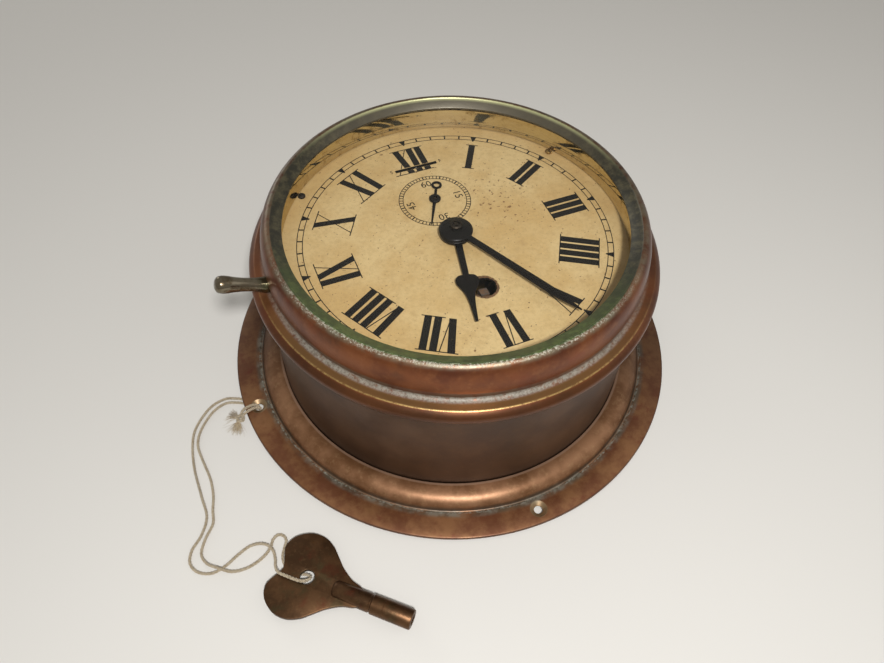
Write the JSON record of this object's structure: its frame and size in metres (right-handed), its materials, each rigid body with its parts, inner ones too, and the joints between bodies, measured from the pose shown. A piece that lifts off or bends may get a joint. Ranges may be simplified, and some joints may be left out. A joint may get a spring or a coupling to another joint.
{
  "type": "ships bulkhead clock",
  "caption": "Round brass bulkhead clock with a screw bezel, lever handle, glazed numbered dial, wound movement, and a winding key on a cord.",
  "frame": {"origin": "centre of the round back on the plane of the back cover, under the dial's centre", "axes": "+Z leaves the dial toward the viewer, +Y is toward 12 o'clock, +X is toward 3 o'clock"},
  "size_m": [0.2501, 0.2321, 0.0902],
  "materials": {
    "aged_brass": "worn brass with a red brown patina",
    "dark_case": "dark brown patina, satin",
    "clean_brass": "turned brass",
    "steel": "ground steel",
    "rusted_steel": "rusted steel",
    "hands": "blackened steel",
    "dial": "aged cream lacquer",
    "nickel": "worn polished nickel",
    "glass": "flat clear glass",
    "gasket": "hardened rubber",
    "key": "dark bronze brown patina",
    "cord": "grey beige cotton"
  },
  "bodies": {
    "case": {"mounting_flange": "aged_brass", "back_cover": "dark_case", "cover_screw_1": "steel", "cover_screw_2": "steel", "cover_screw_3": "steel", "cover_screw_4": "steel", "case_drum": "dark_case", "dial_plate": "dial", "dial_screw_1": "clean_brass", "dial_screw_2": "clean_brass", "dial_screw_3": "clean_brass", "back_plate": "clean_brass", "front_plate": "clean_brass", "pillar_nut_1": "steel", "pillar_nut_2": "steel", "pillar_nut_3": "steel", "pillar_nut_4": "steel", "click_stud": "steel", "minute_wheel_stud": "steel", "escapement_bridge": "clean_brass", "hairspring": "steel", "balance_cock": "clean_brass", "winding_key_bow": "key", "winding_key_pipe": "key", "key_cord": "cord", "cord_knot": "cord"},
    "glazing": {"glass": "glass", "glass_gasket": "gasket", "glass_retaining_ring": "clean_brass"},
    "bezel": {"bezel_ring": "aged_brass", "bezel_handle": "nickel"},
    "third": {"third_arbor": "steel", "third_wheel": "clean_brass"},
    "minute": {"minute_hand": "hands", "hand_nut": "rusted_steel", "centre_arbor": "steel", "centre_wheel": "clean_brass", "cannon_pinion": "steel"},
    "motion": {"minute_wheel": "clean_brass"},
    "hour": {"hour_hand": "hands", "hour_wheel": "clean_brass"},
    "barrel": {"barrel_with_great_wheel": "clean_brass", "barrel_cover": "clean_brass", "mainspring": "steel"},
    "seconds": {"fourth_arbor": "steel", "fourth_wheel": "clean_brass", "seconds_hand": "hands"},
    "escape": {"escape_arbor": "steel", "escape_wheel": "clean_brass"},
    "winding": {"winding_arbor": "rusted_steel", "ratchet_wheel": "steel"},
    "click": {"click": "steel"},
    "pallet": {"pallet_lever": "steel", "pallet_arbor": "steel"},
    "balance": {"balance_wheel": "clean_brass", "balance_staff": "steel"},
    "regulator": {"regulator_index": "steel"}
  },
  "joints": [
    {"name": "bezel_lift", "type": "slide", "parent": "case", "child": "glazing", "axis": [0, 0, 1], "range_m": [0, 0.006]},
    {"name": "bezel_turn", "type": "hinge", "parent": "glazing", "child": "bezel", "pos_m": [0, 0, 0.075], "axis": [0, 0, 1], "range_deg": [0, 1080]},
    {"name": "third_turn", "type": "hinge", "parent": "case", "child": "third", "pos_m": [0.01135, 0.01374, 0.025], "axis": [0, 0, 1], "continuous": true},
    {"name": "minute_turn", "type": "hinge", "parent": "case", "child": "minute", "pos_m": [0, 0, 0.05], "axis": [0, 0, 1], "continuous": true},
    {"name": "minute_wheel_turn", "type": "hinge", "parent": "case", "child": "motion", "pos_m": [-0.012, 0, 0.054], "axis": [0, 0, 1], "continuous": true},
    {"name": "hour_turn", "type": "hinge", "parent": "case", "child": "hour", "pos_m": [0, 0, 0.058], "axis": [0, 0, 1], "continuous": true},
    {"name": "barrel_turn", "type": "hinge", "parent": "case", "child": "barrel", "pos_m": [0, -0.0305, 0.03], "axis": [0, 0, 1], "continuous": true},
    {"name": "seconds_turn", "type": "hinge", "parent": "case", "child": "seconds", "pos_m": [0, 0.024, 0.05], "axis": [0, 0, 1], "continuous": true},
    {"name": "escape_turn", "type": "hinge", "parent": "case", "child": "escape", "pos_m": [0, 0.0372, 0.05], "axis": [0, 0, 1], "continuous": true},
    {"name": "winding_turn", "type": "hinge", "parent": "case", "child": "winding", "pos_m": [0, -0.0305, 0.06], "axis": [0, 0, 1], "continuous": true},
    {"name": "click_lift", "type": "hinge", "parent": "case", "child": "click", "pos_m": [-0.00272, -0.01769, 0.053], "axis": [0, 0, 1], "range_deg": [0, 12], "stiffness_Nm_per_rad": 0.002, "springref_deg": -5.73},
    {"name": "pallet_rock", "type": "hinge", "parent": "case", "child": "pallet", "pos_m": [0, 0.0462, 0.055], "axis": [0, 0, 1], "range_deg": [-4, 4]},
    {"name": "balance_swing", "type": "hinge", "parent": "case", "child": "balance", "pos_m": [0, 0.0587, 0.058], "axis": [0, 0, 1], "range_deg": [-270, 270], "stiffness_Nm_per_rad": 0.000015},
    {"name": "regulator_turn", "type": "hinge", "parent": "case", "child": "regulator", "pos_m": [0, 0.0587, 0.065], "axis": [0, 0, 1], "range_deg": [-20, 20]}
  ],
  "couplings": [
    {"joint": "bezel_lift", "follows": "bezel_turn", "m_per_rad": 0.0003183},
    {"joint": "minute_turn", "follows": "third_turn", "ratio": -0.125},
    {"joint": "minute_wheel_turn", "follows": "third_turn", "ratio": 0.041667},
    {"joint": "hour_turn", "follows": "third_turn", "ratio": -0.010417},
    {"joint": "barrel_turn", "follows": "third_turn", "ratio": 0.010417},
    {"joint": "seconds_turn", "follows": "third_turn", "ratio": -7.5},
    {"joint": "escape_turn", "follows": "third_turn", "ratio": 75}
  ]
}
